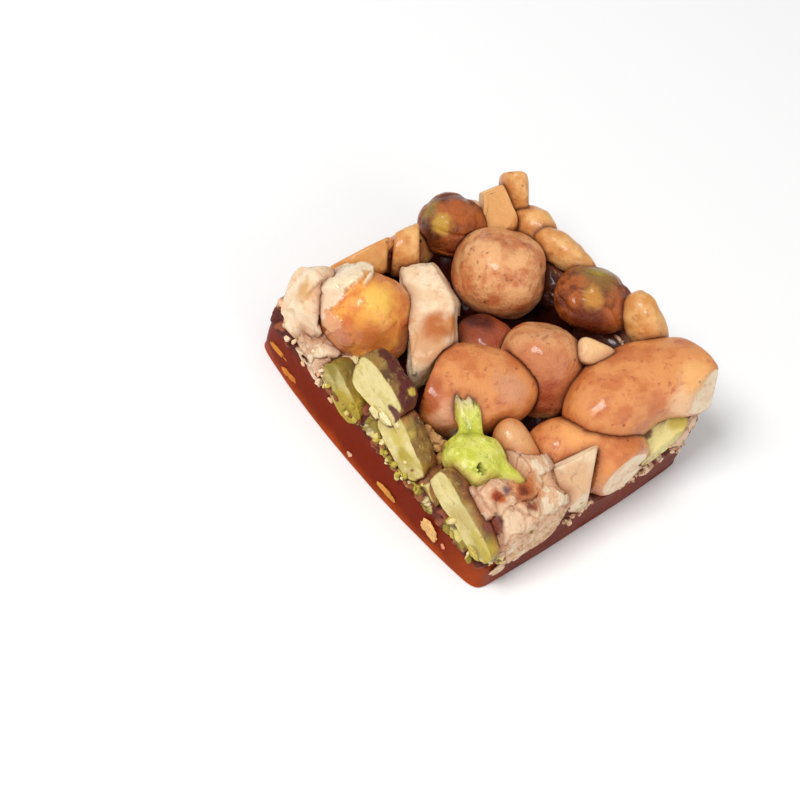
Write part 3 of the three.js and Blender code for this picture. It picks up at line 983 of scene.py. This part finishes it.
class Graph:
    """A material's node tree, with short ways to add nodes."""

    def __init__(self, name):
        self.material = bpy.data.materials.new(name)
        self.material.use_nodes = True
        self.tree = self.material.node_tree
        self.shader = self.tree.nodes["Principled BSDF"]

    def feed(self, socket, value):
        if isinstance(value, bpy.types.NodeSocket):
            self.tree.links.new(value, socket)
        else:
            socket.default_value = value

    def add(self, kind, inputs={}, **settings):
        """The outputs of a new node."""
        node = self.tree.nodes.new("ShaderNode" + kind)
        for key, value in settings.items():
            setattr(node, key, value)
        for key, value in inputs.items():
            self.feed(node.inputs[key], value)
        return node.outputs

    def value(self, name, wide=False):
        return self.add("Attribute", attribute_name=name)["Vector" if wide else "Fac"]

    def noise(self, where, scale, detail=3, roughness=0.5):
        inputs = {"Vector": where, "Scale": scale, "Detail": detail, "Roughness": roughness}
        return self.add("TexNoise", inputs)["Fac"]

    def range(self, value, low, high):
        """0 at low, 1 at high, and eased between."""
        inputs = {"Value": value, "From Min": low, "From Max": high}
        return self.add("MapRange", inputs, interpolation_type="SMOOTHSTEP")["Result"]

    def math(self, operation, a, b=0.0):
        return self.add("Math", {0: a, 1: b}, operation=operation)[0]

    def times(self, a, b):
        return self.math("MULTIPLY", a, b)

    def mix(self, share, a, b):
        """Two colours mixed, each one a socket or screen values."""
        a, b = (rgb(*color) if isinstance(color, tuple) else color for color in (a, b))
        return self.add("Mix", {"Factor": share, "A": a, "B": b}, data_type="RGBA")["Result"]

    def bump(self, height, distance):
        self.set(Normal=self.add("Bump", {"Distance": distance, "Height": height})["Normal"])

    def set(self, **values):
        for key, value in values.items():
            self.feed(self.shader.inputs[key.replace("_", " ")], value)


SYRUP_AND_SHADE = (170, 84, 42)
SPECK = (84, 40, 20)
VEIN = (140, 104, 40)
# Skins: screen colours of the skin, its spots, and the rim and middle of a cut; strength of the specks;
# gloss, roughness, depth of the grain in millimetres; how dark the seams are with glaze and painted shade, and
# the vein of a cut
Skin = namedtuple("Skin", "light dark spot rim flesh speck gloss roughness bump seam vein", defaults=(0.6, 0))
SKINS = {
    "hazelnut": ((240, 178, 120), (208, 122, 70), (150, 74, 38), (222, 158, 100), (244, 216, 176),
                 0.6, 0.8, 0.36, 0.25),
    "golden": ((240, 164, 68), (216, 116, 48), (190, 88, 36), (226, 170, 108), (244, 214, 172),
               0.2, 1.0, 0.22, 0.15, 0.4),
    "cashew": ((226, 148, 84), (206, 116, 60), (184, 94, 52), (226, 160, 102), (246, 222, 186),
               0.6, 0.8, 0.34, 0.16),
    "peanut": ((234, 180, 112), (214, 144, 76), (188, 112, 58), (228, 166, 100), (234, 178, 112),
               0.5, 0.6, 0.34, 0.12),
    "cream": ((242, 210, 168), (228, 174, 130), (212, 148, 102), (238, 194, 150), (246, 212, 172),
              0.1, 0.3, 0.5, 0.3, 0.3),
    "shell": ((246, 222, 188), (236, 198, 156), (220, 164, 116), (234, 188, 142), (246, 222, 188),
              0.1, 0.3, 0.45, 0.15, 0.3),
    "dark": ((184, 98, 40), (108, 46, 18), (124, 58, 22), (150, 130, 50), (226, 206, 130),
             0.2, 0.6, 0.24, 0.3),
    "green": ((160, 120, 56), (100, 62, 34), (196, 172, 84), (208, 186, 80), (242, 224, 156),
              0.2, 0.3, 0.45, 0.3, 0.6, 0.4),
    "lime": ((234, 230, 118), (206, 208, 64), (160, 172, 44), (206, 208, 84), (236, 232, 150),
             0.1, 0.5, 0.36, 0.3, 0.4),
}


def veined(g, color, where, bare, strength):
    """The colour with a wandering line along the middle of a cut."""
    _, _, z = g.add("SeparateXYZ", {0: where})
    wander = g.times(g.math("SUBTRACT", g.noise(where, 0.5, 4, 0.6), 0.5), 5.0)
    off = g.math("ABSOLUTE", g.math("ADD", z, wander))
    line = g.times(g.range(off, 0.35, 0.1), g.range(g.noise(where, 0.8, 2), 0.42, 0.6))
    return g.mix(g.times(g.times(line, bare), strength), color, VEIN)


def nut_material(name, skin):
    """Mottled skin with spots and specks, paler flesh where it is cut, patches, and syrup with painted shade
    in the seams and low down near the jelly.
    """
    g = Graph(name)
    where = g.value("local", wide=True)
    cut = g.value("cut")
    mottle = g.range(g.noise(where, 0.28, 4, 0.6), 0.35, 0.6)
    color = g.mix(mottle, skin.dark, skin.light)
    grain = g.noise(where, 2.5, 4, 0.7)
    flesh = g.mix(g.range(cut, 0.05, 0.35), skin.rim, skin.flesh)
    cloud = g.range(g.noise(where, 0.45, 5, 0.65), 0.42, 0.66)
    flesh = g.mix(g.times(cloud, 0.55), flesh, skin.rim)
    bare = g.range(cut, 0.02, 0.12)
    wet = g.math("SUBTRACT", 1.0, g.times(bare, 0.7))
    color = g.mix(bare, color, flesh)
    share = g.value("share")
    color = g.mix(share, color, g.value("tint", wide=True))
    spots = g.range(g.noise(where, 0.75, 5, 0.65), 0.55, 0.68)
    spots = g.times(spots, g.math("SUBTRACT", 0.75, g.times(share, 0.45)))
    color = g.mix(g.times(spots, wet), color, skin.spot)
    cells = g.add("TexVoronoi", {"Vector": where, "Scale": 0.5})["Distance"]
    specks = g.range(cells, 0.15, 0.1)
    rare = g.range(g.noise(where, 0.45, 1), 0.52, 0.58)
    color = g.mix(g.times(g.times(specks, rare), skin.speck), color, SPECK)
    if skin.vein:
        color = veined(g, color, where, bare, skin.vein)
    # Syrup with painted shade near another nut, and dark glaze with painted shade where they touch
    near = g.times(g.range(g.value("seam"), 0.2, 1), 0.5)
    color = g.mix(g.times(near, wet), color, SYRUP_AND_SHADE)
    tight = g.times(g.range(g.value("seam"), 0.7, 1), skin.seam)
    color = g.mix(g.times(tight, wet), color, GLAZE_AND_SHADE)
    # Glaze low on the nut near the jelly, darkened with painted shade
    deep = g.times(g.value("low_glaze_and_shade"), wet)
    color = g.mix(deep, color, GLAZE_AND_SHADE)
    gloss = g.times(g.math("SUBTRACT", 1.0, deep), skin.gloss * 0.5)
    dull = g.math("ADD", g.times(grain, 0.3), skin.roughness - 0.15)
    dull = g.math("ADD", dull, g.times(g.math("MAXIMUM", bare, deep), 0.25))
    g.set(Base_Color=color, Roughness=dull, Specular_IOR_Level=0.35, Coat_Weight=gloss, Coat_Roughness=0.15)
    g.set(Subsurface_Weight=0.12, Subsurface_Radius=(1.0, 0.5, 0.25), Subsurface_Scale=1.2 * MM)
    g.bump(g.math("ADD", grain, g.times(mottle, 0.4)), skin.bump * MM)
    return g.material


def crumb_material():
    """Crumbs and bits in their own colours, a little grainy."""
    g = Graph("crumb_body")
    where = g.add("TexCoord")["Object"]
    grain = g.noise(where, 1500, 3, 0.7)
    own = g.value("tint", wide=True)
    deep = g.mix(0.6, own, (150, 80, 40))
    color = g.mix(g.range(grain, 0.5, 0.8), own, deep)
    g.set(Base_Color=color, Roughness=0.6, Specular_IOR_Level=0.3)
    g.bump(grain, 0.2 * MM)
    return g.material


def jelly_material():
    """Dark red-brown jelly: painted light glows orange through its foot and front corner, the +X side has a
    painted pinkish sheen, and the top, seen only in the gaps between nuts, is darkened almost to black with
    painted shade.
    """
    g = Graph("jelly_body")
    where = g.add("TexCoord")["Object"]
    x, y, z = g.add("SeparateXYZ", {0: where})
    cloud = g.noise(where, 180, 3)
    # Painted light shining through the jelly: orange low on its sides and at the front corner
    low = g.range(g.math("ADD", z, g.times(cloud, 3 * MM)), 3.6 * MM, 1.2 * MM)
    corner = g.range(g.math("SUBTRACT", x, y), 38 * MM, 50 * MM)
    painted_glow = g.math("MAXIMUM", g.times(low, 0.7), g.times(corner, 0.6))
    color = g.mix(painted_glow, (118, 34, 12), (188, 80, 14))
    # Painted sheen: a pinker colour on the +X side, away from the front corner
    painted_sheen = g.times(g.range(x, 25.5 * MM, 26.2 * MM), g.range(y, -24 * MM, -16 * MM))
    color = g.mix(painted_sheen, color, g.mix(cloud, (130, 56, 38), (86, 28, 18)))
    brim = g.range(g.math("ADD", z, g.times(cloud, 2 * MM)), 6.6 * MM, 7.8 * MM)
    color = g.mix(g.times(brim, 0.6), color, (72, 18, 10))
    # Painted shade on top, where the jelly shows only in the gaps between the nuts: its dark syrup made almost
    # black
    color = g.mix(g.range(z, 7.5 * MM, 9.2 * MM), color, (44, 10, 6))
    g.set(Base_Color=color, Roughness=0.4, Specular_IOR_Level=0.06, Coat_Weight=0.02, Coat_Roughness=0.1)
    g.set(Subsurface_Weight=0.3, Subsurface_Radius=(1.0, 0.25, 0.08), Subsurface_Scale=2 * MM)
    g.bump(g.noise(where, 900, 3), 0.12 * MM)
    return g.material


# Build

materials = {key: nut_material("skin_" + key, Skin(*row)) for key, row in SKINS.items()}
shaped = []
earlier = []
for number, nut in enumerate(NUTS):
    points, faces, values = nut_shape(nut, 40 * number, earlier)
    middle = np.array(nut.at)
    earlier.append((tree(points, faces), middle, norm(points - middle, axis=1).max()))
    shaped.append((nut, points, faces, values))
for number, (nut, points, faces, values) in enumerate(shaped):
    values["seam"] = seam(points, earlier[:number] + earlier[number + 1:])
    slot = SLOTS.get(nut.skin, nut.skin)
    piece(nut.name + "_skin", points, faces, materials[nut.skin], slot, nut.name, **values)

solids = [(points, faces) for _, points, faces, _ in shaped]
nuts_tree = tree(*joined(solids))
points, faces = jelly_shape(nuts_tree)
piece("jelly_slab", points, faces, jelly_material(), "jelly", "jelly")
solids.append((points, faces))

# The cut sides: the ways out and along, half the length, the distance from the middle, where along it the
# crumbs are green, and how far the crust leans out over the jelly
SIDES = (
    (-Y, X, LENGTH / 2, KNIFE_Y, lambda along: along > -12, 0.8),
    (X, Y, WIDTH / 2, KNIFE_X, lambda along: along < -17, 0),
    (Y, X, LENGTH / 2, KNIFE_Y, lambda along: np.abs(along) < 6, 0.8),
    (-X, Y, WIDTH / 2, KNIFE_X, lambda along: np.abs(along) < 6, 0),
)
crusts = [crust(nuts_tree, *side, 3 + k) for k, side in enumerate(SIDES)]
crumbs = loose_crumbs(tree(*joined(solids)), 5)
for k, side in enumerate(SIDES):
    crumbs += edge_crumbs(*side, 20 + k)
for k, bit in enumerate(BITS):
    crumbs += broken_bit(*bit, 90 + k)
material = crumb_material()
for name, parts in (("crust", crusts), ("crumbs", crumbs)):
    points, faces = joined([(np.clip(p, *BOX_MM), f) for p, f, _ in parts])
    tint = np.vstack([c for _, _, c in parts])
    made = piece(name, points, faces, material, "cream", tint=tint)
    if name == "crumbs":
        made.data.shade_flat()

# Floor, light and camera

bpy.ops.mesh.primitive_plane_add(size=4)
floor = bpy.context.object
floor.name = "floor"
paper = Graph("floor_paper")
paper.set(Base_Color=(0.96, 0.96, 0.96, 1), Roughness=0.7)
floor.data.materials.append(paper.material)

AZIMUTH, ELEVATION, ROLL = 33.57, 52.84, 20.53
TARGET = Vector((-3.03, -14.48, 8.0)) * MM
DISTANCE = 0.33
LENS = 98
KEY_LIGHT = 3.6
FILL_LIGHT = 1.0
ROOM_LIGHT = 0.42
LIGHT_DISTANCE = 0.7

a, e, r = np.radians((AZIMUTH, ELEVATION, ROLL))
back = Vector((math.sin(a) * math.cos(e), -math.cos(a) * math.cos(e), math.sin(e)))
level = Vector(Z).cross(back).normalized()
steep = back.cross(level)
right = math.cos(r) * level + math.sin(r) * steep
up = back.cross(right)
camera = placed("camera", bpy.data.cameras.new("camera"))
camera.matrix_world = Matrix((right, up, back)).transposed().to_4x4()
camera.location = TARGET + back * DISTANCE
camera.data.lens = LENS
camera.data.clip_start = 0.01
scene.camera = camera


def area_light(name, way, size, power):
    lamp = bpy.data.lights.new(name, "AREA")
    lamp.size = size
    lamp.energy = power
    obj = placed(name, lamp)
    way = way.normalized()
    obj.location = way * LIGHT_DISTANCE
    obj.rotation_euler = way.to_track_quat("Z", "Y").to_euler()


area_light("key", back * 0.9 + up * 0.35 - right * 0.25, size=0.25, power=KEY_LIGHT)
area_light("fill", back * 0.6 + right * 0.7 - up * 0.3, size=0.5, power=FILL_LIGHT)
world = bpy.data.worlds.new("room")
world.use_nodes = True
background = world.node_tree.nodes["Background"]
background.inputs["Color"].default_value = (1, 1, 1, 1)
background.inputs["Strength"].default_value = ROOM_LIGHT
scene.world = world
scene.view_settings.view_transform = "Standard"
